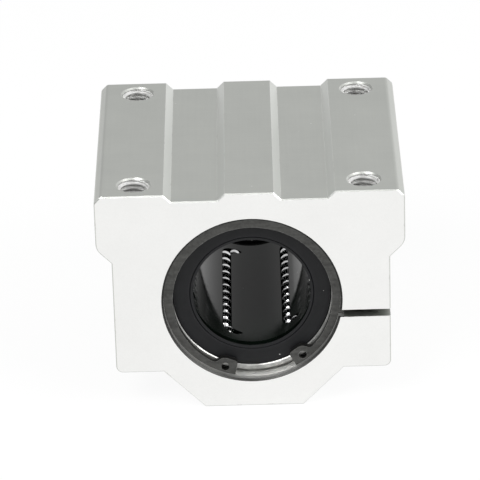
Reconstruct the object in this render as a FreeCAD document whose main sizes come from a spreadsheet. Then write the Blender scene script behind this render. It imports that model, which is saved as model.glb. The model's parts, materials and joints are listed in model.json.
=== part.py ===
import FreeCAD, Part
import math
import os
from types import SimpleNamespace

import Sketcher

# Flange-type linear bearing block: an aluminium housing with a closed linear ball
# bearing, kept in its bore by two internal retaining rings.
#
# Frame, in millimetres: +Z up, the shaft runs along Y, the front end looks towards -Y.
# The origin is the centre of the bore, half way along the block. Angles around the
# shaft are counted from straight down (-Z) towards +X.

Vector = FreeCAD.Vector
Placement = FreeCAD.Placement
Rotation = FreeCAD.Rotation

Y_AXIS = Vector(0, 1, 0)
Z_AXIS = Vector(0, 0, 1)

driving_sizes = {
    # shaft and balls
    "shaft_diameter": 30.0,
    "ball_diameter": 3.969,
    "running_clearance": 0.015,  # shaft to loaded ball
    "race_clearance": 0.01,  # loaded ball to sleeve
    "ball_spacing": 0.05,  # between one ball and the next
    "ball_stagger": 2.3,  # from one circuit's balls to the next one's
    "circuits": 6,
    "first_row_angle": -25.5,
    "turn_radius": 3.24,  # centre line of the ball track's turns
    "return_lift": 1.1,  # return track further out than the loaded one
    # cage
    "cage_clearance": 0.4,  # shaft to cage
    "cage_wall": 3.2,
    "track_clearance": 0.12,  # ball to track wall
    "track_end_wall": 2.2,  # end of a track to end of the cage
    "cage_edge": 0.3,
    # sleeve
    "sleeve_wall": 2.236,
    "return_clearance": 0.16,  # return ball to sleeve
    "sleeve_edge": 1.0,
    "mouth_edge": 0.25,
    "snap_groove_depth": 1.0,
    "snap_groove_width": 1.85,
    "snap_groove_inset": 9.75,  # groove's outer wall to the sleeve's end
    # seals
    "seal_recess": 0.4,  # seal's face behind the sleeve's end
    "seal_depth": 2.1,
    "seal_clearance": 0.03,
    "lip_clearance": 0.03,  # shaft to seal lip
    "lip_width": 0.4,
    "lip_setback": 0.1,  # lip behind the seal's flat face
    "lip_flare": 0.9,  # lip to the seal's flat face, across
    "lip_height": 0.9,  # lip's free edge to its root
    "lip_groove_width": 0.3,
    "lip_groove_depth": 0.25,
    "seal_edge": 0.2,
    # end rings
    "end_ring_gap": 0.1,
    "end_ring_plate": 0.9,
    "end_ring_bore_step": 1.6,  # shaft to the ring's bore
    "end_ring_skirt": 1.3,
    # retaining rings, for a bore of the bearing's diameter
    "ring_thickness": 1.75,
    "ring_groove_width": 1.85,
    "ring_groove_depth": 1.25,
    "ring_seat_clearance": 0.05,
    "ring_width": 3.4,  # half way round
    "ring_eccentricity": 0.8,
    "ring_gap_angle": 41.0,
    "ring_turn": 8.25,  # gap's middle away from straight down
    "lug_angle": 57.0,  # between the two lug holes
    "lug_hole_diameter": 2.15,
    "lug_hole_depth": 2.7,  # hole's centre inside the ring's outer edge
    "lug_width": 4.8,
    "lug_tip": 2.4,  # hole's centre to the lug's inner edge
    "lug_flat": 0.4,  # left of the lug's side between its round and the ring
    "lug_gap_round": 1.0,
    "lug_root_round": 1.4,
    # housing
    "housing_length": 72.0,
    "end_recess": 4.0,  # housing's end to the sleeve's end
    "seat_clearance": 0.02,  # sleeve to housing
    "top_wall": 7.5,
    "foot_wall": 7.5,
    "flange_depth": 14.7,
    "flange_overhang": 3.85,
    "flange_round": 4.0,
    "top_edge": 1.7,
    "top_edge_round": 1.2,
    "side_drop": 19.6,  # shaft centre to the shoulders beside the foot
    "body_round": 1.8,
    "foot_width": 25.2,
    "centre_land": 12.3,
    "relief_width": 15.4,
    "relief_depth": 1.85,
    "slit_width": 2.0,
    "slit_drop": 4.2,
    "end_edge": 0.3,
    "bore_mouth_edge": 0.5,
    # screw holes
    "thread_diameter": 8.0,
    "thread_depth": 18.0,
    "thread_mouth_edge": 0.45,
    "through_diameter": 7.0,
    "hole_wall": 2.5,  # bearing bore to thread
    "hole_side": 10.0,  # hole centre to the housing's side
    "hole_end": 7.0,  # hole centre to the housing's end
}

doc = FreeCAD.newDocument("LinearBearingBlock")
sheet = doc.addObject("Spreadsheet::Sheet", "Sizes")
for row, (alias, value) in enumerate(driving_sizes.items(), start=1):
    sheet.set(f"A{row}", alias)
    sheet.set(f"B{row}", str(value))
    sheet.setAlias(f"B{row}", alias)
doc.recompute()


class Size:
    """A number with the sheet formula that gives it, so that a feature can be bound to it."""

    def __init__(self, value, formula):
        self.value = value
        self.formula = formula

    def combined(self, sign, other, value):
        return Size(value, f"({self.formula} {sign} {as_size(other).formula})")

    def __add__(self, other):
        return self.combined("+", other, self.value + as_size(other).value)

    def __sub__(self, other):
        return self.combined("-", other, self.value - as_size(other).value)

    def __mul__(self, other):
        return self.combined("*", other, self.value * as_size(other).value)

    def __truediv__(self, other):
        return self.combined("/", other, self.value / as_size(other).value)

    def __neg__(self):
        return Size(-self.value, f"(-1 * {self.formula})")


def root(number):
    return Size(math.sqrt(number.value), f"sqrt({number.formula})")


def as_size(number):
    if isinstance(number, Size):
        return number
    return Size(number, repr(number))


def sine(degrees):
    return Size(math.sin(math.radians(degrees.value)), f"sin({degrees.formula} * 1 deg)")


def cosine(degrees):
    return Size(math.cos(math.radians(degrees.value)), f"cos({degrees.formula} * 1 deg)")


size = SimpleNamespace(**{alias: Size(sheet.get(alias), f"Sizes.{alias}") for alias in driving_sizes})

# Radii of the bearing, from the shaft outwards.
shaft_radius = size.shaft_diameter / 2
ball_radius = size.ball_diameter / 2
lip_radius = shaft_radius + size.lip_clearance
cage_bore_radius = shaft_radius + size.cage_clearance
cage_radius = cage_bore_radius + size.cage_wall
loaded_radius = shaft_radius + size.running_clearance + ball_radius
return_radius = loaded_radius + size.return_lift
track_radius = ball_radius + size.track_clearance
raceway_radius = loaded_radius + ball_radius + size.race_clearance
sleeve_bore_radius = return_radius + ball_radius + size.return_clearance
sleeve_radius = sleeve_bore_radius + size.sleeve_wall
bore_radius = sleeve_radius + size.seat_clearance

# A ball track lies flat. Facing straight down, its two legs are this far across and down.
track_middle = (return_radius * return_radius - loaded_radius * loaded_radius) / (size.turn_radius * 4)
loaded_across = track_middle - size.turn_radius
return_across = track_middle + size.turn_radius
track_drop = root(loaded_radius * loaded_radius - loaded_across * loaded_across)
row_lean = math.degrees(math.atan2(loaded_across.value, track_drop.value))

# Distances from the middle along the shaft.
housing_end = size.housing_length / 2
sleeve_end = housing_end - size.end_recess
seal_front = sleeve_end - size.seal_recess
seal_back = seal_front - size.seal_depth
end_ring_front = seal_back - size.end_ring_gap
end_ring_back = end_ring_front - size.end_ring_plate
cage_end = end_ring_back - size.end_ring_gap
track_reach = cage_end - size.track_end_wall
track_straight = track_reach - size.turn_radius - track_radius

# Housing seen from its end.
hole_across = bore_radius + size.hole_wall + size.thread_diameter / 2
hole_along = housing_end - size.hole_end
half_width = hole_across + size.hole_side
half_body = half_width - size.flange_overhang
top = bore_radius + size.top_wall
foot = bore_radius + size.foot_wall


def origin_feature(body, role):
    return next(feature for feature in body.Origin.OriginFeatures if feature.Role == role)


def new_body(label):
    body = doc.addObject("PartDesign::Body", label)
    body.Label = label
    return body


def new_sketch(body, name, role):
    sketch = body.newObject("Sketcher::SketchObject", name)
    sketch.AttachmentSupport = [(origin_feature(body, role), "")]
    sketch.MapMode = "FlatFace"
    return sketch


def tie(sketch, kind, target, distance):
    """Hold one coordinate of a sketch point at a size from the sheet."""
    index = sketch.addConstraint(Sketcher.Constraint(kind, -1, 1, *target, distance.value))
    sketch.setExpression(f"Constraints[{index}]", distance.formula)


def draw_outline(sketch, corners):
    """A closed outline of straight lines, each corner tied to the sheet."""
    corners = [(as_size(across), as_size(up)) for across, up in corners]
    first = sketch.GeometryCount
    count = len(corners)
    for index in range(count):
        ends = (corners[index], corners[(index + 1) % count])
        start, end = [Vector(across.value, up.value, 0) for across, up in ends]
        sketch.addGeometry(Part.LineSegment(start, end))
    for index in range(count):
        following = (index + 1) % count
        sketch.addConstraint(Sketcher.Constraint("Coincident", first + index, 2, first + following, 1))
    for index, (across, up) in enumerate(corners):
        tie(sketch, "DistanceX", (first + index, 1), across)
        tie(sketch, "DistanceY", (first + index, 1), up)


def draw_circle(sketch, across, up, radius):
    across = as_size(across)
    up = as_size(up)
    centre = Vector(across.value, up.value, 0)
    circle = sketch.addGeometry(Part.Circle(centre, Z_AXIS, radius.value))
    tie(sketch, "DistanceX", (circle, 3), across)
    tie(sketch, "DistanceY", (circle, 3), up)
    index = sketch.addConstraint(Sketcher.Constraint("Radius", circle, radius.value))
    sketch.setExpression(f"Constraints[{index}]", radius.formula)


def new_feature(body, kind, name, **bindings):
    """A feature of the body, with its sizes bound to the sheet."""
    feature = body.newObject(f"PartDesign::{kind}", name)
    for property_name, bound in bindings.items():
        feature.setExpression(property_name, bound.formula)
    return feature


def pad(body, sketch, length, symmetric=False):
    feature = new_feature(body, "Pad", f"{sketch.Name}_pad", Length=length)
    feature.Profile = sketch
    if symmetric:
        feature.SideType = "Symmetric"
    doc.recompute()
    return feature


def checked_cut(feature, base=None):
    """Recompute a cut, which has to take something away from the solid before it."""
    before = (base or feature.BaseFeature).Shape.Volume
    doc.recompute()
    if feature.Shape.Volume > before - 0.01:
        raise RuntimeError(f"{feature.Name} removes nothing")
    return feature


def pocket_through(body, sketch):
    feature = new_feature(body, "Pocket", f"{sketch.Name}_pocket")
    feature.Profile = sketch
    feature.SideType = "Symmetric"
    feature.Type = "ThroughAll"
    return checked_cut(feature)


def revolve(body, sketch, kind="Revolution"):
    """Turn a section, drawn along the shaft and outwards, once around the shaft."""
    feature = new_feature(body, kind, f"{sketch.Name}_{kind.lower()}")
    feature.Profile = sketch
    feature.ReferenceAxis = (sketch, ["H_Axis"])
    feature.Angle = 360
    if kind == "Groove":
        return checked_cut(feature)
    doc.recompute()
    return feature


def dress(body, kind, name, width, edges):
    """Fillet or chamfer some edges of the body's last feature."""
    bound = {"Radius": width} if kind == "Fillet" else {"Size": width}
    base = body.Tip
    feature = new_feature(body, kind, name, **bound)
    feature.Base = (base, edges)
    doc.recompute()
    return feature


def runs_along_shaft(edge):
    if not isinstance(edge.Curve, Part.Line):
        return False
    return abs(edge.Curve.Direction.dot(Y_AXIS)) > 0.999


def long_edges_at(shape, places):
    """Names of the edges along the shaft that lie nearest to some places seen from the end."""
    names = []
    for across, up in places:
        target = Vector(across.value, 0, up.value)
        gaps = {}
        for number, edge in enumerate(shape.Edges, start=1):
            if runs_along_shaft(edge):
                start = edge.Vertexes[0].Point
                gaps[f"Edge{number}"] = (Vector(start.x, 0, start.z) - target).Length
        names.append(min(gaps, key=gaps.get))
    return names


def end_edges(shape, closed):
    """Names of the edges in the two end planes: closed circles, or the rest."""
    names = []
    for number, edge in enumerate(shape.Edges, start=1):
        box = edge.BoundBox
        at_end = abs(abs(box.Center.y) - housing_end.value) < 1e-6
        if at_end and box.YLength < 1e-6 and edge.isClosed() == closed:
            names.append(f"Edge{number}")
    return names


def both_sides(half):
    """Add the other half of a symmetric outline, mirrored across its vertical middle."""
    return half + [(-across, up) for across, up in reversed(half)]


def turned(degrees, along=0.0):
    """Placement that moves something from straight down to an angle around the shaft."""
    return Placement(Vector(0, along, 0), Rotation(Y_AXIS, -degrees))


def circuit_place(circuit):
    """Placement that turns the track facing straight down to one of the circuits."""
    step = 360.0 / size.circuits.value
    return turned(size.first_row_angle.value + circuit * step - row_lean)


def all_circuits(body, name, cut):
    """Repeat a cut for every circuit, and turn the body to where the circuits are."""
    pattern = new_feature(body, "PolarPattern", name, Occurrences=size.circuits)
    pattern.Originals = [cut]
    pattern.Axis = (origin_feature(body, "Y_Axis"), [""])
    pattern.Angle = 360
    body.Tip = pattern
    checked_cut(pattern, cut)
    body.Placement = circuit_place(0)


def facing_rear(placement):
    return Placement(Vector(), Rotation(Z_AXIS, 180)).multiply(placement)


def build_housing():
    body = new_body("housing_block")

    # Section: a centre land and two relief channels on top, flanges with a 45 degree
    # underside, plain sides, and 45 degree shoulders down to a narrow foot.
    land = size.centre_land / 2
    relief_edge = land + size.relief_width
    shoulder = size.foot_width / 2 + foot - size.side_drop
    flange_corner = (half_width, top - size.flange_depth)
    body_corner = (half_body, -size.side_drop)
    half = [
        (land, top),
        (land + size.relief_depth, top - size.relief_depth),
        (relief_edge - size.relief_depth, top - size.relief_depth),
        (relief_edge, top),
        (half_width - size.top_edge, top),
        (half_width, top - size.top_edge),
        flange_corner,
        (half_body, top - size.flange_depth - size.flange_overhang),
        body_corner,
        (shoulder, -size.side_drop),
        (size.foot_width / 2, -foot),
    ]
    section = new_sketch(body, "housing_section", "XZ_Plane")
    draw_outline(section, both_sides(half))
    pad(body, section, size.housing_length, symmetric=True)

    places = both_sides([(half_width - size.top_edge, top), (half_width, top - size.top_edge)])
    dress(body, "Fillet", "top_rounds", size.top_edge_round, long_edges_at(body.Tip.Shape, places))
    places = both_sides([flange_corner])
    dress(body, "Fillet", "flange_rounds", size.flange_round, long_edges_at(body.Tip.Shape, places))
    places = both_sides([body_corner])
    dress(body, "Fillet", "body_rounds", size.body_round, long_edges_at(body.Tip.Shape, places))

    bore = new_sketch(body, "bearing_bore", "XZ_Plane")
    draw_circle(bore, 0.0, 0.0, bore_radius)
    pocket_through(body, bore)
    dress(body, "Chamfer", "bore_mouths", size.bore_mouth_edge, end_edges(body.Tip.Shape, closed=True))
    dress(body, "Chamfer", "end_edges", size.end_edge, end_edges(body.Tip.Shape, closed=False))

    # The clamping slit opens the bore to the side and crosses the screw holes.
    slit_top = size.slit_width / 2 - size.slit_drop
    slit_bottom = -size.slit_width / 2 - size.slit_drop
    slit = new_sketch(body, "clamping_slit", "XZ_Plane")
    inner = shaft_radius
    corners = [(inner, slit_bottom), (half_width, slit_bottom), (half_width, slit_top), (inner, slit_top)]
    draw_outline(slit, corners)
    pocket_through(body, slit)

    grooves = new_sketch(body, "ring_grooves", "YZ_Plane")
    groove_radius = bore_radius + size.ring_groove_depth
    outer = sleeve_end + size.ring_groove_width
    for near, far in ((sleeve_end, outer), (-outer, -sleeve_end)):
        corners = [(near, shaft_radius), (far, shaft_radius), (far, groove_radius), (near, groove_radius)]
        draw_outline(grooves, corners)
    revolve(body, grooves, "Groove")

    # Screw holes: threaded from the top, drilled through from the shoulders. The
    # threads are cut at their major diameter, without their ridges.
    centres = [(hole_across, hole_along), (-hole_across, hole_along)]
    centres += [(across, -along) for across, along in centres]
    threads = new_sketch(body, "thread_centres", "XY_Plane")
    threads.setExpression("AttachmentOffset.Base.z", top.formula)
    for across, along in centres:
        draw_circle(threads, across, along, size.thread_diameter / 2)
    doc.recompute()
    thread = new_feature(
        body,
        "Hole",
        "screw_threads",
        Diameter=size.thread_diameter,
        Depth=size.thread_depth,
        HoleCutDiameter=size.thread_diameter + size.thread_mouth_edge * 2,
    )
    thread.Profile = threads
    thread.ThreadType = "None"
    thread.DepthType = "Dimension"
    thread.DrillPoint = "Flat"
    thread.HoleCutType = "Countersink"
    thread.HoleCutCustomValues = True
    thread.HoleCutCountersinkAngle = 90
    checked_cut(thread)

    through = new_sketch(body, "through_centres", "XY_Plane")
    for across, along in centres:
        draw_circle(through, across, along, size.through_diameter / 2)
    pocket_through(body, through)
    return body


def build_retaining_ring(label, placement):
    """Internal retaining ring, drawn with its gap straight down."""
    body = new_body(label)
    ring_radius = bore_radius + size.ring_groove_depth - size.ring_seat_clearance
    hole_radius = ring_radius - size.lug_hole_depth
    inner_radius = ring_radius - size.ring_width
    half_lug = size.lug_angle / 2
    half_gap = size.ring_gap_angle / 2
    reach = size.lug_width

    ring = new_sketch(body, "ring", "XZ_Plane")
    draw_circle(ring, 0.0, 0.0, ring_radius)
    draw_circle(ring, 0.0, -size.ring_eccentricity, inner_radius)
    pad(body, ring, size.ring_thickness)

    # A lug is a block around its hole: sideways is away from the gap, outwards from the shaft.
    def lug_point(outwards, sideways):
        across = sine(half_lug) * outwards + cosine(half_lug) * sideways
        up = sine(half_lug) * sideways - cosine(half_lug) * outwards
        return across, up

    tip = hole_radius - size.lug_tip
    lug_length = inner_radius + size.ring_eccentricity - tip
    rim = hole_radius + size.lug_hole_depth / 2
    side = size.lug_width / 2
    corners = [lug_point(tip, side), lug_point(tip, -reach), lug_point(rim, -reach), lug_point(rim, side)]
    lugs = new_sketch(body, "lugs", "XZ_Plane")
    draw_outline(lugs, corners)
    draw_outline(lugs, [(-across, up) for across, up in corners])
    gap = new_sketch(body, "gap", "XZ_Plane")
    beyond = ring_radius * 2
    wedge = [(sine(half_gap) * beyond, -cosine(half_gap) * beyond)]
    draw_outline(gap, [(0.0, 0.0)] + both_sides(wedge))
    lug_pad = pad(body, lugs, size.ring_thickness)
    pocket_through(body, gap)

    holes = new_sketch(body, "lug_holes", "XZ_Plane")
    for across, up in both_sides([lug_point(hole_radius, as_size(0.0))]):
        draw_circle(holes, across, up, size.lug_hole_diameter / 2)
    pocket_through(body, holes)

    rounds = [
        ("lug_tips", lug_length - size.lug_flat, lug_point(tip, side)),
        ("gap_tips", size.lug_gap_round, (sine(half_gap) * tip, -cosine(half_gap) * tip)),
        ("lug_roots", size.lug_root_round, lug_point(inner_radius + size.ring_eccentricity, side)),
    ]
    for name, radius, place in rounds:
        dress(body, "Fillet", name, radius, long_edges_at(body.Tip.Shape, both_sides([place])))
    body.Placement = placement
    return body


def build_sleeve():
    """Outer sleeve: raceways for the loaded rows, grooves for the returning balls."""
    body = new_body("bearing_sleeve")
    groove_radius = sleeve_radius - size.snap_groove_depth
    groove_outer = sleeve_end - size.snap_groove_inset
    groove_inner = groove_outer - size.snap_groove_width
    half = [
        (track_straight, raceway_radius),
        (track_straight, sleeve_bore_radius),
        (sleeve_end - size.mouth_edge, sleeve_bore_radius),
        (sleeve_end, sleeve_bore_radius + size.mouth_edge),
        (sleeve_end, sleeve_radius - size.sleeve_edge),
        (sleeve_end - size.sleeve_edge, sleeve_radius),
        (groove_outer, sleeve_radius),
        (groove_outer, groove_radius),
        (groove_inner, groove_radius),
        (groove_inner, sleeve_radius),
    ]
    section = new_sketch(body, "sleeve_section", "YZ_Plane")
    draw_outline(section, both_sides(half))
    revolve(body, section)

    groove = new_sketch(body, "return_groove", "XZ_Plane")
    draw_circle(groove, return_across, -track_drop, ball_radius + size.return_clearance)
    all_circuits(body, "return_grooves", pocket_through(body, groove))
    return body


def build_seal(label, placement):
    """Lip seal, drawn for the rear end: its lip lies just behind the flat face."""
    body = new_body(label)
    rim = sleeve_bore_radius - size.seal_clearance
    lip_front = seal_front - size.lip_setback
    lip_back = lip_front - size.lip_width
    flare = lip_radius + size.lip_flare
    groove = size.lip_groove_width
    section = new_sketch(body, "seal_section", "YZ_Plane")
    corners = [
        (seal_front - size.seal_edge, rim),
        (seal_front, rim - size.seal_edge),
        (seal_front, flare),
        (seal_front - size.lip_groove_depth, flare - groove / 2),
        (seal_front, flare - groove),
        (lip_front, lip_radius),
        (lip_back, lip_radius),
        (lip_back, lip_radius + size.lip_height),
        (seal_back, lip_radius + size.lip_height * 2),
        (seal_back, rim),
    ]
    draw_outline(section, corners)
    revolve(body, section)
    body.Placement = placement
    return body


def build_end_ring(label, placement):
    """Ring behind the seal, with a skirt around the end of the cage."""
    body = new_body(label)
    rim = sleeve_bore_radius - size.seal_clearance
    skirt_radius = cage_radius + size.track_clearance
    skirt_end = end_ring_back - size.end_ring_skirt
    bore = shaft_radius + size.end_ring_bore_step
    section = new_sketch(body, "end_ring_section", "YZ_Plane")
    corners = [
        (end_ring_front, bore),
        (end_ring_front, rim),
        (skirt_end, rim),
        (skirt_end, skirt_radius),
        (end_ring_back, skirt_radius),
        (end_ring_back, bore),
    ]
    draw_outline(section, corners)
    revolve(body, section)
    body.Placement = placement
    return body


def draw_track(sketch):
    """Centre line of a ball track: two legs along the shaft, joined by half turns."""
    near = track_middle.value
    half = track_straight.value
    turn_radius = size.turn_radius.value
    zero = as_size(0.0)
    legs = [
        ((loaded_across, zero), (loaded_across, track_straight)),
        ((return_across, track_straight), (return_across, -track_straight)),
        ((loaded_across, -track_straight), (loaded_across, zero)),
    ]
    for start, end in legs:
        ends = [Vector(across.value, along.value, 0) for across, along in (start, end)]
        leg = sketch.addGeometry(Part.LineSegment(*ends))
        for corner, (across, along) in enumerate((start, end), start=1):
            tie(sketch, "DistanceX", (leg, corner), across)
            tie(sketch, "DistanceY", (leg, corner), along)
    turns = [(half, 0.0, (1, 1), (0, 2)), (-half, math.pi, (2, 1), (1, 2))]
    for along, angle, start, end in turns:
        circle = Part.Circle(Vector(near, along, 0), Z_AXIS, turn_radius)
        turn = sketch.addGeometry(Part.ArcOfCircle(circle, angle, angle + math.pi))
        for corner, other in ((1, start), (2, end)):
            sketch.addConstraint(Sketcher.Constraint("Coincident", turn, corner, *other))
        tie(sketch, "DistanceY", (turn, 3), track_straight if along > 0 else -track_straight)


def build_cage():
    """Cage with a round passage for each circuit, open to the shaft along the loaded leg."""
    body = new_body("ball_retainer")
    edge = size.cage_edge
    half = [
        (cage_end - edge, cage_radius),
        (cage_end, cage_radius - edge),
        (cage_end, cage_bore_radius),
    ]
    section = new_sketch(body, "cage_section", "YZ_Plane")
    draw_outline(section, both_sides(half))
    revolve(body, section)

    track = new_sketch(body, "track", "XY_Plane")
    track.setExpression("AttachmentOffset.Base.z", (-track_drop).formula)
    draw_track(track)
    opening = new_sketch(body, "track_section", "XZ_Plane")
    draw_circle(opening, loaded_across, -track_drop, track_radius)
    doc.recompute()
    passage = new_feature(body, "SubtractivePipe", "passage")
    passage.Profile = opening
    passage.Spine = (track, [f"Edge{number}" for number in (1, 4, 2, 5, 3)])
    all_circuits(body, "passages", checked_cut(passage))
    return body


def track_point(distance):
    """Point on the track that faces straight down, from the rear end of its return leg."""
    radius = size.turn_radius.value
    middle = track_middle.value
    half = track_straight.value
    turn = math.pi * radius
    distance = distance % (4 * half + 2 * turn)
    if distance < 2 * half:
        across, along = middle + radius, half - distance
    elif distance < 2 * half + turn:
        angle = (distance - 2 * half) / radius
        across, along = middle + radius * math.cos(angle), -half - radius * math.sin(angle)
    elif distance < 4 * half + turn:
        across, along = middle - radius, distance - turn - 3 * half
    else:
        angle = (distance - 4 * half - turn) / radius
        across, along = middle - radius * math.cos(angle), half + radius * math.sin(angle)
    return Vector(across, along, -track_drop.value)


def ball_centres(start):
    """Centres of a circuit's balls, each one pitch from the last, with the slack before the first."""
    pitch = size.ball_diameter.value + size.ball_spacing.value
    track_length = 4 * track_straight.value + 2 * math.pi * size.turn_radius.value
    distances = [start]
    while distances[-1] < start + track_length - pitch:
        here = track_point(distances[-1])
        following = distances[-1] + pitch
        for _ in range(20):
            following += pitch - (track_point(following) - here).Length
        distances.append(following)
    while (track_point(distances[-1]) - track_point(start)).Length < pitch:
        distances.pop()
    return [track_point(distance) for distance in distances]


def build_balls(label, centres, placement):
    balls = []
    for centre in centres:
        ball = doc.addObject("Part::Sphere", f"{label}_ball")
        ball.setExpression("Radius", ball_radius.formula)
        ball.Placement = Placement(centre, Rotation())
        balls.append(ball)
    row = doc.addObject("Part::Compound", label)
    row.Label = label
    row.Links = balls
    row.Placement = placement
    return row


def build_all():
    ring_turn = size.ring_turn.value
    front_seat = turned(ring_turn, -sleeve_end.value)
    rear = facing_rear(Placement())
    parts = [
        build_housing(),
        build_retaining_ring("front_retaining_ring", front_seat),
        build_retaining_ring("rear_retaining_ring", facing_rear(front_seat)),
        build_sleeve(),
        build_cage(),
        build_seal("front_seal", rear),
        build_seal("rear_seal", Placement()),
        build_end_ring("front_end_ring", rear),
        build_end_ring("rear_end_ring", Placement()),
    ]
    for circuit in range(int(size.circuits.value)):
        first_ball = track_straight.value + circuit * size.ball_stagger.value
        centres = ball_centres(first_ball)
        loaded = [centre for centre in centres if centre.x < loaded_across.value + 1e-6]
        returning = [centre for centre in centres if centre not in loaded]
        place = circuit_place(circuit)
        parts.append(build_balls(f"loaded_balls_{circuit + 1}", loaded, place))
        parts.append(build_balls(f"return_balls_{circuit + 1}", returning, place))
    doc.recompute()
    return parts


def check(parts):
    for item in doc.Objects:
        if "Invalid" in item.State or "Error" in item.State:
            raise RuntimeError(f"{item.Label} failed: {item.State}")
    for part in parts:
        if part.Shape.isNull() or not part.Shape.isValid():
            raise RuntimeError(f"{part.Label} has no valid shape")


def write_parts(parts):
    os.makedirs("parts", exist_ok=True)
    for part in parts:
        part.Shape.exportStep(f"parts/{part.Label}.step")
        print(f"{part.Label}: {len(part.Shape.Solids)} solids, {part.Shape.Volume:.1f} mm3")


all_parts = build_all()
check(all_parts)
write_parts(all_parts)
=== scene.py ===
import json
import math

import bmesh
import bpy
from mathutils import Matrix, Vector


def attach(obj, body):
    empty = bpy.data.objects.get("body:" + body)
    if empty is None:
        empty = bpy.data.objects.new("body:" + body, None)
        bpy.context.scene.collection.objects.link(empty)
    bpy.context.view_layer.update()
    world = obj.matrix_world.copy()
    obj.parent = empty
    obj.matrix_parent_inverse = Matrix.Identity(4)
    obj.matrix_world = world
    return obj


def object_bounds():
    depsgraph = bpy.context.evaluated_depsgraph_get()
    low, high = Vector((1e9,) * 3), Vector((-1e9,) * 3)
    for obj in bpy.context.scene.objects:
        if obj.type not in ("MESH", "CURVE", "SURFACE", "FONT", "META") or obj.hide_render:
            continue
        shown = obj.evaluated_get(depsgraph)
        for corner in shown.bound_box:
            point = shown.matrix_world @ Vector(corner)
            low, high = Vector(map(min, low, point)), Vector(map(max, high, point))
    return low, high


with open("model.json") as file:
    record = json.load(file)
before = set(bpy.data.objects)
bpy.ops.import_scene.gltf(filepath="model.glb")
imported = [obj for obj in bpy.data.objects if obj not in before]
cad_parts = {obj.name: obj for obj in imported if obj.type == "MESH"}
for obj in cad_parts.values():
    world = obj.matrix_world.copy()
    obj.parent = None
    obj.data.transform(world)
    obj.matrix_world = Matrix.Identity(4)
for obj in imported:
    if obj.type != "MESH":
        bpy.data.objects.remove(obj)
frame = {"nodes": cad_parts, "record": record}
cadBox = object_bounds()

scene = bpy.context.scene
nodes = frame["nodes"]
mounts = {mount["name"]: mount for mount in frame["record"]["mounts"]}
mm = 0.001
print("bearing block loaded:", len(nodes), "pieces")

camera = {
    "azimuth": 0.34,  # degrees, as are the next two
    "elevation": 25.55,
    "roll": -1.66,
    "distance": 0.9607,  # metres, as is the target
    "target": (-0.0028, 0.0, 0.0),
    "lens": 274.67,
    "sensorWidth": 36.0,
    "clipEnd": 20.0,
}


def aimCamera():
    azimuth = math.radians(camera["azimuth"])
    elevation = math.radians(camera["elevation"])
    level = math.cos(elevation)
    back = Vector((math.sin(azimuth) * level, -math.cos(azimuth) * level, math.sin(elevation)))
    right = Vector((0, 0, 1)).cross(back).normalized()
    right = Matrix.Rotation(math.radians(camera["roll"]), 3, back) @ right
    data = bpy.data.cameras.new("viewCamera")
    data.lens = camera["lens"]
    data.sensor_width = camera["sensorWidth"]
    data.clip_end = camera["clipEnd"]
    viewer = bpy.data.objects.new("viewCamera", data)
    scene.collection.objects.link(viewer)
    place = Matrix((right, back.cross(right), back)).transposed().to_4x4()
    place.translation = Vector(camera["target"]) + back * camera["distance"]
    viewer.matrix_world = place
    scene.camera = viewer


aimCamera()
print("camera aimed")


def addNode(tree, kind, values=None, **settings):
    node = tree.nodes.new(kind)
    for name, value in settings.items():
        setattr(node, name, value)
    for name, value in (values or {}).items():
        node.inputs[name].default_value = value
    return node


def calculate(tree, operation, first, second, clamp=False):
    node = addNode(tree, "ShaderNodeMath", operation=operation, use_clamp=clamp)
    for socket, value in zip(node.inputs, (first, second)):
        if isinstance(value, bpy.types.NodeSocket):
            tree.links.new(value, socket)
        else:
            socket.default_value = value
    return node.outputs[0]


def blendColours(tree, factor, first, second):
    node = addNode(tree, "ShaderNodeMix", data_type="RGBA")
    sockets = [socket for socket in node.inputs if socket.enabled]
    for socket, value in zip(sockets, (factor, first, second)):
        if isinstance(value, bpy.types.NodeSocket):
            tree.links.new(value, socket)
        elif socket.type == "RGBA":
            socket.default_value = (*value, 1)
        else:
            socket.default_value = value
    return next(socket for socket in node.outputs if socket.enabled)


def newEffect(name, inputs, output):
    effect = bpy.data.node_groups.new(name, "ShaderNodeTree")
    for title, value in inputs.items():
        kind = "NodeSocketVector" if isinstance(value, tuple) else "NodeSocketFloat"
        socket = effect.interface.new_socket(title, in_out="INPUT", socket_type=kind)
        socket.default_value = value
    effect.interface.new_socket(output, in_out="OUTPUT", socket_type="NodeSocketFloat")
    return effect, effect.nodes.new("NodeGroupInput"), effect.nodes.new("NodeGroupOutput")


texture = {
    "noiseReach": (0.3, 0.7),  # most of the noise lies between these
    "noiseRoughness": 0.6,
    "turnedDetail": 4.0,
    "turnedRoughness": 0.7,
    "bevelSamples": 6,
}


def spreadNoise(effect, given, noise):
    lowest, highest = texture["noiseReach"]
    spread = addNode(effect, "ShaderNodeMapRange", {"From Min": lowest, "From Max": highest})
    effect.links.new(noise.outputs["Fac"], spread.inputs["Value"])
    effect.links.new(given.outputs["Low"], spread.inputs["To Min"])
    effect.links.new(given.outputs["High"], spread.inputs["To Max"])
    return spread.outputs["Result"]


def buildMottling():
    inputs = {"Vector": (0.0, 0.0, 0.0), "Stretch": (1.0, 1.0, 1.0), "Scale": 100.0}
    inputs |= {"Detail": 3.0, "Low": 0.0, "High": 1.0}
    effect, given, result = newEffect("mottling", inputs, "Value")
    stretch = addNode(effect, "ShaderNodeVectorMath", operation="MULTIPLY")
    noise = addNode(effect, "ShaderNodeTexNoise", {"Roughness": texture["noiseRoughness"]})
    effect.links.new(given.outputs["Vector"], stretch.inputs[0])
    effect.links.new(given.outputs["Stretch"], stretch.inputs[1])
    effect.links.new(stretch.outputs[0], noise.inputs["Vector"])
    effect.links.new(given.outputs["Scale"], noise.inputs["Scale"])
    effect.links.new(given.outputs["Detail"], noise.inputs["Detail"])
    effect.links.new(spreadNoise(effect, given, noise), result.inputs["Value"])
    return effect


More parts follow.
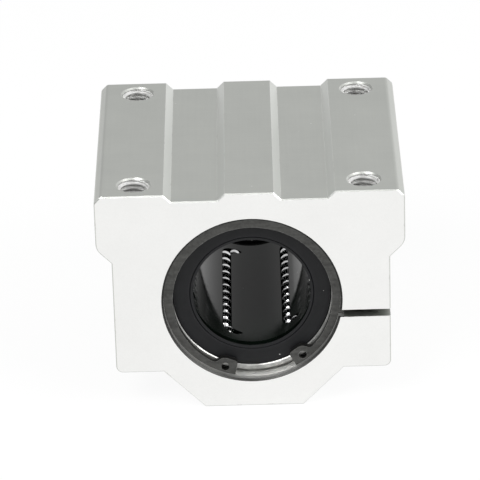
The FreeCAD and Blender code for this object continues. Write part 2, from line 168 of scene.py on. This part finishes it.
# Noise that runs in rings around the shaft's axis.
def buildTurnedLines():
    inputs = {"Vector": (0.0, 0.0, 0.0), "Scale": 2000.0, "Low": 0.0, "High": 1.0}
    effect, given, result = newEffect("turnedLines", inputs, "Value")
    split = addNode(effect, "ShaderNodeSeparateXYZ")
    flat = addNode(effect, "ShaderNodeCombineXYZ")
    radius = addNode(effect, "ShaderNodeVectorMath", operation="LENGTH")
    around = addNode(effect, "ShaderNodeCombineXYZ")
    detail = {"Detail": texture["turnedDetail"], "Roughness": texture["turnedRoughness"]}
    noise = addNode(effect, "ShaderNodeTexNoise", detail)
    effect.links.new(given.outputs["Vector"], split.inputs[0])
    effect.links.new(split.outputs["X"], flat.inputs["X"])
    effect.links.new(split.outputs["Z"], flat.inputs["Z"])
    effect.links.new(flat.outputs[0], radius.inputs[0])
    effect.links.new(radius.outputs["Value"], around.inputs["X"])
    effect.links.new(split.outputs["Y"], around.inputs["Y"])
    effect.links.new(around.outputs[0], noise.inputs["Vector"])
    effect.links.new(given.outputs["Scale"], noise.inputs["Scale"])
    effect.links.new(spreadNoise(effect, given, noise), result.inputs["Value"])
    return effect


def buildStrayDust():
    inputs = {"Vector": (0.0, 0.0, 0.0), "Scale": 300.0, "Size": 0.1, "Share": 0.1}
    effect, given, result = newEffect("strayDust", inputs, "Mask")
    cells = addNode(effect, "ShaderNodeTexVoronoi")
    pick = addNode(effect, "ShaderNodeSeparateColor")
    effect.links.new(given.outputs["Vector"], cells.inputs["Vector"])
    effect.links.new(given.outputs["Scale"], cells.inputs["Scale"])
    effect.links.new(cells.outputs["Color"], pick.inputs[0])
    small = calculate(effect, "LESS_THAN", cells.outputs["Distance"], given.outputs["Size"])
    chosen = calculate(effect, "LESS_THAN", pick.outputs["Red"], given.outputs["Share"])
    effect.links.new(calculate(effect, "MULTIPLY", small, chosen), result.inputs["Mask"])
    return effect


# Edge mask, used to lighten edges as worn bare metal and as a painted highlight along them, and to place
# nicks.
def buildRubbedAndHighlitEdges():
    effect, given, result = newEffect("rubbedAndHighlitEdges", {"Radius": 0.2 * mm, "Strength": 4.0}, "Mask")
    rounded = addNode(effect, "ShaderNodeBevel", samples=texture["bevelSamples"])
    surface = addNode(effect, "ShaderNodeNewGeometry")
    agreement = addNode(effect, "ShaderNodeVectorMath", operation="DOT_PRODUCT")
    effect.links.new(given.outputs["Radius"], rounded.inputs["Radius"])
    effect.links.new(rounded.outputs["Normal"], agreement.inputs[0])
    effect.links.new(surface.outputs["Normal"], agreement.inputs[1])
    turned = calculate(effect, "SUBTRACT", 1.0, agreement.outputs["Value"])
    strong = calculate(effect, "MULTIPLY", turned, given.outputs["Strength"], clamp=True)
    effect.links.new(strong, result.inputs["Mask"])
    return effect


effects = {
    "mottling": buildMottling(),
    "turnedLines": buildTurnedLines(),
    "strayDust": buildStrayDust(),
    "rubbedAndHighlitEdges": buildRubbedAndHighlitEdges(),
}
print("surface effects built:", len(effects))


class Finish:
    def __init__(self, name, **sockets):
        self.material = bpy.data.materials.new(name)
        self.material.use_nodes = True
        self.tree = self.material.node_tree
        self.shader = self.tree.nodes["Principled BSDF"]
        for title, value in sockets.items():
            self.shader.inputs[title.replace("_", " ")].default_value = value
        self.coordinates = addNode(self.tree, "ShaderNodeTexCoord").outputs["Object"]

    def effect(self, name, **values):
        node = addNode(self.tree, "ShaderNodeGroup", node_tree=effects[name])
        if "Vector" in node.inputs:
            self.tree.links.new(self.coordinates, node.inputs["Vector"])
        for title, value in values.items():
            node.inputs[title].default_value = value
        return node.outputs[0]

    def math(self, operation, first, second, clamp=False):
        return calculate(self.tree, operation, first, second, clamp)

    def weigh(self, first, second, share=0.5):
        first = self.math("MULTIPLY", first, share)
        return self.math("ADD", first, self.math("MULTIPLY", second, 1 - share))

    def blend(self, factor, first, second):
        return blendColours(self.tree, factor, first, second)

    def feed(self, socket, value):
        self.tree.links.new(value, self.shader.inputs[socket])

    def relief(self, height, settings):
        bump = addNode(self.tree, "ShaderNodeBump", settings)
        self.tree.links.new(height, bump.inputs["Height"])
        self.feed("Normal", bump.outputs["Normal"])


aluminium = {
    # Drawn sides' grey: partly the drawn finish, partly painted shade that makes the top and sides
    # darker than the milled ends.
    "extrudedAndShaded": (0.64, 0.655, 0.62),
    "extrudedShade": (0.58, 0.595, 0.565),
    # Painted highlight: the relief channels' slanted sides are painted lighter than the rest of the top.
    "flankHighlight": (0.73, 0.745, 0.715),
    "flankReach": 25 * mm,  # past the relief channels' slanted sides
    "flankFacing": (0.4, 0.8),  # how far those sides lean over
    "milled": (0.915, 0.915, 0.90),
    "milledShade": (0.865, 0.865, 0.85),
    "milledFacing": 0.9,  # squareness to the shaft that makes a face a milled end
    # Edges painted near white: partly worn bare metal, partly a painted highlight.
    "edge": (0.97, 0.97, 0.96),
    "nick": (0.22, 0.21, 0.20),
    "speck": (0.93, 0.93, 0.92),
    "bored": (0.93, 0.93, 0.92),
    "boredShade": (0.68, 0.68, 0.67),
    "boredRadius": 23.9 * mm,  # just past the ring grooves
    # Painted shade: the bore's mouth chamfer is painted near black, as a dark outline round the bore.
    "mouthShade": (0.06, 0.06, 0.058),
    "mouthDepth": 0.55 * mm,  # just past the bore's chamfer
    # Painted shade: the screw holes' walls are painted mid grey, darker than the thread ridges, so the
    # roots between the ridges read shaded.
    "tappedShade": (0.42, 0.42, 0.41),
    "tappedReach": 0.05 * mm,  # past the hole's wall
    "clouds": {"Scale": 60.0, "Detail": 5.0},
    "cloudShare": 0.6,
    "specks": {"Scale": 2400.0, "Detail": 2.0},
    "drawnLines": {"Stretch": (1.0, 0.02, 1.0), "Scale": 1500.0},
    "crossLines": {"Stretch": (0.02, 1.0, 1.0), "Scale": 900.0},
    "dust": {"Scale": 250.0, "Size": 0.04, "Share": 0.4},
    "edges": {"Radius": 0.25 * mm, "Strength": 5.0},
    "dents": {"Scale": 420.0, "Detail": 2.0, "Low": -3.2, "High": 1.4},
    "rings": {"Scale": 2600.0},
    "satin": {"Stretch": (1.0, 0.12, 1.0), "Scale": 500.0, "Detail": 4.0, "Low": 0.355, "High": 0.41},
    "turned": {"Scale": 900.0, "Low": 0.36, "High": 0.54},
    "grain": {"Strength": 0.35, "Distance": 0.012 * mm},
}


def splitVector(finish, vector):
    split = addNode(finish.tree, "ShaderNodeSeparateXYZ")
    finish.tree.links.new(vector, split.inputs[0])
    return split.outputs["X"], split.outputs["Y"], split.outputs["Z"]


def nearAxis(finish, first, second, radius):
    squares = [finish.math("MULTIPLY", value, value) for value in (first, second)]
    return finish.math("LESS_THAN", finish.math("ADD", *squares), radius * radius)


# Mask for the painted shade on the screw holes' walls.
def tappedShadeMask(finish, across, along):
    pattern = mounts["top_screw_holes"]["dims"]
    halfAcross = pattern["spacing_x_mm"] * mm / 2
    halfAlong = pattern["spacing_y_mm"] * mm / 2
    sideways = finish.math("SUBTRACT", finish.math("ABSOLUTE", across, 0.0), halfAcross)
    lengthways = finish.math("SUBTRACT", finish.math("ABSOLUTE", along, 0.0), halfAlong)
    reach = pattern["hole_r_mm"] * mm + aluminium["tappedReach"]
    return nearAxis(finish, sideways, lengthways, reach)


# Mask for the painted highlight on the relief channels' slanted sides.
def flankHighlightMask(finish, across, sideways):
    least, most = aluminium["flankFacing"]
    leaning = finish.math("GREATER_THAN", sideways, least)
    leaning = finish.math("MULTIPLY", leaning, finish.math("LESS_THAN", sideways, most))
    middle = finish.math("LESS_THAN", finish.math("ABSOLUTE", across, 0.0), aluminium["flankReach"])
    return finish.math("MULTIPLY", leaning, middle)


# Colour of the drawn sides, painted shade included, with a painted highlight on the relief channels'
# slanted sides.
def drawnColour(finish, clouds, lines, flankHighlight):
    tone = finish.weigh(clouds, lines, aluminium["cloudShare"])
    colour = finish.blend(tone, aluminium["extrudedShade"], aluminium["extrudedAndShaded"])
    return finish.blend(flankHighlight, colour, aluminium["flankHighlight"])


def milledColour(finish, clouds, specks):
    grit = finish.weigh(clouds, specks, aluminium["cloudShare"])
    return finish.blend(grit, aluminium["milledShade"], aluminium["milled"])


def boredColour(finish, along):
    rings = finish.effect("turnedLines", **aluminium["rings"])
    colour = finish.blend(rings, aluminium["boredShade"], aluminium["bored"])
    # Painted shade on the bore's mouth chamfer.
    inside = cadBox[1][1] - aluminium["mouthDepth"]
    mouthShade = finish.math("GREATER_THAN", finish.math("ABSOLUTE", along, 0.0), inside)
    return finish.blend(mouthShade, colour, aluminium["mouthShade"])


def addWearAndEdgeHighlight(finish, colour):
    dust = finish.effect("strayDust", **aluminium["dust"])
    colour = finish.blend(dust, colour, aluminium["speck"])
    # Edges lightened: partly wear, partly a painted highlight.
    edges = finish.effect("rubbedAndHighlitEdges", **aluminium["edges"])
    colour = finish.blend(edges, colour, aluminium["edge"])
    dents = finish.math("MAXIMUM", finish.effect("mottling", **aluminium["dents"]), 0.0)
    nicks = finish.math("MULTIPLY", edges, dents, clamp=True)
    return finish.blend(nicks, colour, aluminium["nick"])


def makeAluminium():
    finish = Finish("drawnAluminium", Metallic=1.0)
    across, along, up = splitVector(finish, finish.coordinates)
    normal = addNode(finish.tree, "ShaderNodeNewGeometry").outputs["Normal"]
    facing = [finish.math("ABSOLUTE", value, 0.0) for value in splitVector(finish, normal)]
    milled = finish.math("GREATER_THAN", facing[1], aluminium["milledFacing"])
    bore = nearAxis(finish, across, up, aluminium["boredRadius"])
    bore = finish.math("SUBTRACT", bore, milled, clamp=True)
    clouds = finish.effect("mottling", **aluminium["clouds"])
    specks = finish.effect("mottling", **aluminium["specks"])
    drawnLines = finish.effect("mottling", **aluminium["drawnLines"])
    crossLines = finish.effect("mottling", **aluminium["crossLines"])
    lines = finish.weigh(drawnLines, crossLines)
    drawn = drawnColour(finish, clouds, lines, flankHighlightMask(finish, across, facing[0]))
    colour = finish.blend(milled, drawn, milledColour(finish, clouds, specks))
    colour = addWearAndEdgeHighlight(finish, colour)
    colour = finish.blend(bore, colour, boredColour(finish, along))
    colour = finish.blend(tappedShadeMask(finish, across, along), colour, aluminium["tappedShade"])
    finish.feed("Base Color", colour)
    satin = finish.effect("mottling", **aluminium["satin"])
    turned = finish.effect("turnedLines", **aluminium["turned"])
    finish.feed("Roughness", finish.blend(bore, satin, turned))
    finish.relief(finish.blend(milled, lines, specks), aluminium["grain"])
    return finish.material


phosphated = {
    "dark": (0.050, 0.050, 0.048),
    "pale": (0.115, 0.115, 0.110),
    # Edges painted pale: partly steel worn bare through the phosphate, partly a painted highlight.
    "edge": (0.52, 0.52, 0.50),
    "grain": {"Scale": 1400.0, "Detail": 4.0},
    "rolled": {"Stretch": (0.15, 1.0, 1.0), "Scale": 900.0},
    "edges": {"Radius": 0.16 * mm, "Strength": 3.0},
    "edgePatches": {"Scale": 500.0, "Low": 0.1, "High": 1.0},
    "satin": {"Scale": 700.0, "Low": 0.36, "High": 0.50},
    "crystals": {"Strength": 0.4, "Distance": 0.02 * mm},
}


def makePhosphatedSteel():
    finish = Finish("phosphatedSpringSteel", Metallic=1.0)
    grain = finish.effect("mottling", **phosphated["grain"])
    rolled = finish.effect("mottling", **phosphated["rolled"])
    tone = finish.weigh(grain, rolled)
    colour = finish.blend(tone, phosphated["dark"], phosphated["pale"])
    edges = finish.effect("rubbedAndHighlitEdges", **phosphated["edges"])
    # Patchy pale edges: partly wear, partly a painted highlight.
    patchyEdgeWearAndHighlight = finish.math("MULTIPLY", edges, finish.effect("mottling", **phosphated["edgePatches"]))
    finish.feed("Base Color", finish.blend(patchyEdgeWearAndHighlight, colour, phosphated["edge"]))
    finish.feed("Roughness", finish.effect("mottling", **phosphated["satin"]))
    finish.relief(tone, phosphated["crystals"])
    return finish.material


groundSteel = {
    "dark": (0.16, 0.16, 0.155),
    "pale": (0.66, 0.66, 0.64),
    "rings": {"Scale": 3500.0},
    "film": {"Scale": 500.0, "Detail": 4.0},
    "satin": {"Scale": 1800.0, "Low": 0.26, "High": 0.46},
    "lines": {"Strength": 0.4, "Distance": 0.01 * mm},
}


def makeGroundSteel():
    finish = Finish("groundBearingSteel", Metallic=1.0)
    rings = finish.effect("turnedLines", **groundSteel["rings"])
    film = finish.effect("mottling", **groundSteel["film"])
    tone = finish.weigh(rings, film)
    finish.feed("Base Color", finish.blend(tone, groundSteel["dark"], groundSteel["pale"]))
    finish.feed("Roughness", finish.effect("turnedLines", **groundSteel["satin"]))
    finish.relief(rings, groundSteel["lines"])
    return finish.material


blackened = {
    "dark": (0.020, 0.020, 0.021),
    "pale": (0.045, 0.045, 0.046),
    "rings": {"Scale": 1500.0},
    "satin": {"Scale": 600.0, "Low": 0.35, "High": 0.50},
    "lines": {"Strength": 0.3, "Distance": 0.01 * mm},
}


def makeBlackenedSteel():
    finish = Finish("blackenedSheet", Metallic=1.0)
    rings = finish.effect("turnedLines", **blackened["rings"])
    finish.feed("Base Color", finish.blend(rings, blackened["dark"], blackened["pale"]))
    finish.feed("Roughness", finish.effect("mottling", **blackened["satin"]))
    finish.relief(rings, blackened["lines"])
    return finish.material


cageResin = {
    "dark": (0.0018, 0.0030, 0.0022),
    "pale": (0.0040, 0.0075, 0.0052),
    "speck": (0.30, 0.30, 0.29),
    "specular": 0.14,
    "flow": {"Stretch": (1.0, 0.2, 1.0), "Scale": 260.0, "Detail": 4.0},
    "dust": {"Scale": 420.0, "Size": 0.06, "Share": 0.05},
    "gloss": {"Scale": 320.0, "Detail": 5.0, "Low": 0.08, "High": 0.16},
    "ripple": {"Strength": 0.3, "Distance": 0.006 * mm},
}


def makeCageResin():
    finish = Finish("mouldedCageResin", Specular_IOR_Level=cageResin["specular"])
    flow = finish.effect("mottling", **cageResin["flow"])
    dust = finish.effect("strayDust", **cageResin["dust"])
    colour = finish.blend(flow, cageResin["dark"], cageResin["pale"])
    finish.feed("Base Color", finish.blend(dust, colour, cageResin["speck"]))
    finish.feed("Roughness", finish.effect("mottling", **cageResin["gloss"]))
    finish.relief(flow, cageResin["ripple"])
    return finish.material


sealRubber = {
    "dark": (0.004, 0.0042, 0.0048),
    "pale": (0.009, 0.0094, 0.0105),
    "speck": (0.60, 0.60, 0.58),
    "specular": 0.24,
    "skin": {"Scale": 1300.0, "Detail": 3.0},
    "rings": {"Scale": 900.0},
    "dust": {"Scale": 500.0, "Size": 0.075, "Share": 0.4},
    "satin": {"Scale": 350.0, "Detail": 4.0, "Low": 0.42, "High": 0.60},
    "grain": {"Strength": 0.25, "Distance": 0.02 * mm},
}


def makeSealRubber():
    finish = Finish("nitrileRubber", Specular_IOR_Level=sealRubber["specular"])
    skin = finish.effect("mottling", **sealRubber["skin"])
    rings = finish.effect("turnedLines", **sealRubber["rings"])
    dust = finish.effect("strayDust", **sealRubber["dust"])
    colour = finish.blend(rings, sealRubber["dark"], sealRubber["pale"])
    finish.feed("Base Color", finish.blend(dust, colour, sealRubber["speck"]))
    finish.feed("Roughness", finish.effect("mottling", **sealRubber["satin"]))
    finish.relief(skin, sealRubber["grain"])
    return finish.material


ballSteel = {
    "dark": (0.70, 0.70, 0.71),
    "pale": (0.88, 0.88, 0.89),
    "film": {"Scale": 700.0, "Detail": 3.0},
    "polish": {"Scale": 400.0, "Low": 0.05, "High": 0.12},
}


def makeBallSteel():
    finish = Finish("polishedBallSteel", Metallic=1.0)
    film = finish.effect("mottling", **ballSteel["film"])
    finish.feed("Base Color", finish.blend(film, ballSteel["dark"], ballSteel["pale"]))
    finish.feed("Roughness", finish.effect("mottling", **ballSteel["polish"]))
    return finish.material


finishes = {
    "housing": makeAluminium(),
    "retaining_ring": makePhosphatedSteel(),
    "sleeve": makeGroundSteel(),
    "cage": makeCageResin(),
    "seal": makeSealRubber(),
    "end_ring": makeBlackenedSteel(),
    "ball": makeBallSteel(),
}


def dressPieces():
    for part in frame["record"]["subparts"]:
        for slot in nodes[part["node"]].material_slots:
            slot.material = finishes[part["material_slot"]]


dressPieces()
print("finishes applied:", len(finishes))

threadRidge = {
    "pitch": 1.25 * mm,
    "rootRadius": 4.03 * mm,
    "crestRadius": 3.32 * mm,
    "rootHalfWidth": 0.54 * mm,
    "crestHalfWidth": 0.16 * mm,
    "depth": 18.0 * mm,
    "mouthEdge": 0.45 * mm,  # depth of the countersink
    "startAngle": 140.0,
    "stepsPerTurn": 48,
    "sharpAngle": 25.0,
    "mergeGap": 0.001 * mm,
    "bright": (0.97, 0.97, 0.96),
    "dull": (0.80, 0.80, 0.79),
    "film": {"Scale": 900.0, "Detail": 3.0},
    "satin": {"Scale": 600.0, "Low": 0.34, "High": 0.50},
}


def makeThreadFinish():
    finish = Finish("cutThread", Metallic=1.0)
    film = finish.effect("mottling", **threadRidge["film"])
    finish.feed("Base Color", finish.blend(film, threadRidge["dull"], threadRidge["bright"]))
    finish.feed("Roughness", finish.effect("mottling", **threadRidge["satin"]))
    return finish.material


def cutByCountersink(corners, middle, rim):
    lowerCrest, upperCrest, upperRoot = corners[1:]
    inwards = threadRidge["rootRadius"] - threadRidge["crestRadius"]
    upwards = threadRidge["rootHalfWidth"] - threadRidge["crestHalfWidth"]
    below = rim - middle + threadRidge["rootHalfWidth"]
    share = below / (inwards + upwards)  # of the lower flank, below the 45 degree cone
    if share < 1:
        radius = threadRidge["rootRadius"] - inwards * share
        height = middle - threadRidge["rootHalfWidth"] + upwards * share
        for crest in (lowerCrest, upperCrest):
            crest.co *= radius / threadRidge["crestRadius"]
            crest.co.z = height
    upperCrest.co.z = min(upperCrest.co.z, rim - inwards)
    upperRoot.co.z = min(upperRoot.co.z, rim)


def buildThread(name, across, along, material):
    top = mounts["top_screw_holes"]["pos_m"][2]
    rim = top - threadRidge["mouthEdge"]
    rise = threadRidge["pitch"] / threadRidge["stepsPerTurn"]
    start = top - threadRidge["depth"] + threadRidge["rootHalfWidth"]
    steps = int((rim + threadRidge["rootHalfWidth"] - start) / rise)
    mesh = bmesh.new()
    section = [
        (threadRidge["rootRadius"], -threadRidge["rootHalfWidth"]),
        (threadRidge["crestRadius"], -threadRidge["crestHalfWidth"]),
        (threadRidge["crestRadius"], threadRidge["crestHalfWidth"]),
        (threadRidge["rootRadius"], threadRidge["rootHalfWidth"]),
    ]
    profile = mesh.faces.new([mesh.verts.new((radius, 0, start + height)) for radius, height in section])
    angle = math.tau * steps / threadRidge["stepsPerTurn"]
    helix = {"cent": (0, 0, 0), "axis": (0, 0, 1), "dvec": (0, 0, rise), "angle": angle, "steps": steps}
    bmesh.ops.spin(mesh, geom=[profile], **helix)
    mesh.verts.ensure_lookup_table()
    corners = len(section)
    for step in range(steps + 1):
        first = corners * step
        cutByCountersink(mesh.verts[first : first + corners], start + step * rise, rim)
    bmesh.ops.remove_doubles(mesh, verts=mesh.verts, dist=threadRidge["mergeGap"])
    bmesh.ops.dissolve_degenerate(mesh, edges=mesh.edges, dist=threadRidge["mergeGap"])
    bmesh.ops.recalc_face_normals(mesh, faces=mesh.faces)
    turn = Matrix.Rotation(math.radians(threadRidge["startAngle"]), 3, "Z")
    bmesh.ops.rotate(mesh, verts=mesh.verts, cent=(0, 0, 0), matrix=turn)
    bmesh.ops.translate(mesh, verts=mesh.verts, vec=(across, along, 0))
    sharp = math.radians(threadRidge["sharpAngle"])
    for edge in mesh.edges:
        edge.smooth = edge.calc_face_angle(0) < sharp
    for face in mesh.faces:
        face.smooth = True
    data = bpy.data.meshes.new(name)
    mesh.to_mesh(data)
    mesh.free()
    ridge = bpy.data.objects.new(name, data)
    scene.collection.objects.link(ridge)
    data.materials.append(material)
    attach(ridge, "root")


def buildThreads():
    spacing = mounts["top_screw_holes"]["dims"]
    across = spacing["spacing_x_mm"] * mm / 2
    along = spacing["spacing_y_mm"] * mm / 2
    material = makeThreadFinish()
    buildThread("thread_front_left", -across, -along, material)
    buildThread("thread_front_right", across, -along, material)
    buildThread("thread_rear_left", -across, along, material)
    buildThread("thread_rear_right", across, along, material)


buildThreads()
print("screw threads built")

studio = {
    "floorSize": 6.0,
    "floorGap": 0.02 * mm,
    "floorColour": 0.9,
    "floorWhite": 0.9,  # share of plain white for camera, glossy and transmission rays
    "skyByHeight": [(0.0, 1.0), (0.5, 0.82), (0.71, 0.57), (0.84, 0.8), (1.0, 0.4)],
    "skyLean": 0.4,  # right brighter than left
    "lamps": {
        "keyLamp": {"place": (-0.5, -0.7, 0.9), "size": 0.6, "power": 9.0},
        "fillLamp": {"place": (0.7, -0.5, 0.6), "size": 0.6, "power": 5.0},
    },
}


def seesWhite(tree):
    path = addNode(tree, "ShaderNodeLightPath")
    direct = calculate(tree, "ADD", path.outputs["Is Camera Ray"], path.outputs["Is Glossy Ray"])
    return calculate(tree, "ADD", direct, path.outputs["Is Transmission Ray"], clamp=True)


def buildSky():
    world = bpy.data.worlds.new("softStudio")
    scene.world = world
    world.use_nodes = True
    tree = world.node_tree
    direction = addNode(tree, "ShaderNodeSeparateXYZ")
    tree.links.new(addNode(tree, "ShaderNodeTexCoord").outputs["Generated"], direction.inputs[0])
    height = addNode(tree, "ShaderNodeMapRange", {"From Min": -1.0})
    tree.links.new(direction.outputs["Z"], height.inputs["Value"])
    ramp = addNode(tree, "ShaderNodeValToRGB")
    tree.links.new(height.outputs["Result"], ramp.inputs["Fac"])
    stops = ramp.color_ramp.elements
    while len(stops) < len(studio["skyByHeight"]):
        stops.new(0.5)  # each gets its own place below
    for stop, (position, level) in zip(stops, studio["skyByHeight"]):
        stop.position = position
        stop.color = (level, level, level, 1)
    lean = calculate(tree, "MULTIPLY", direction.outputs["X"], studio["skyLean"])
    sky = addNode(tree, "ShaderNodeVectorMath", operation="SCALE")
    tree.links.new(ramp.outputs["Color"], sky.inputs[0])
    tree.links.new(calculate(tree, "ADD", lean, 1.0), sky.inputs["Scale"])
    tree.links.new(sky.outputs[0], tree.nodes["Background"].inputs["Color"])


def buildFloor():
    mesh = bmesh.new()
    bmesh.ops.create_grid(mesh, x_segments=1, y_segments=1, size=studio["floorSize"] / 2)
    bmesh.ops.translate(mesh, verts=mesh.verts, vec=(0, 0, cadBox[0][2] - studio["floorGap"]))
    data = bpy.data.meshes.new("floor")
    mesh.to_mesh(data)
    mesh.free()
    floor = bpy.data.objects.new("floor", data)
    scene.collection.objects.link(floor)
    material = bpy.data.materials.new("paleFloor")
    material.use_nodes = True
    tree = material.node_tree
    tree.nodes.remove(tree.nodes["Principled BSDF"])
    level = studio["floorColour"]
    matt = addNode(tree, "ShaderNodeBsdfDiffuse", {"Color": (level, level, level, 1)})
    white = addNode(tree, "ShaderNodeEmission")
    share = calculate(tree, "MULTIPLY", seesWhite(tree), studio["floorWhite"])
    mixed = addNode(tree, "ShaderNodeMixShader")
    tree.links.new(share, mixed.inputs["Fac"])
    tree.links.new(matt.outputs[0], mixed.inputs[1])
    tree.links.new(white.outputs[0], mixed.inputs[2])
    tree.links.new(mixed.outputs[0], tree.nodes["Material Output"].inputs["Surface"])
    data.materials.append(material)


def hangLamps():
    for name, lamp in studio["lamps"].items():
        data = bpy.data.lights.new(name, "AREA")
        data.size = lamp["size"]
        data.energy = lamp["power"]
        light = bpy.data.objects.new(name, data)
        light.location = lamp["place"]
        light.rotation_euler = (-Vector(lamp["place"])).to_track_quat("-Z", "Y").to_euler()
        scene.collection.objects.link(light)


scene.view_settings.view_transform = "Standard"
buildSky()
buildFloor()
hangLamps()
print("studio lit")
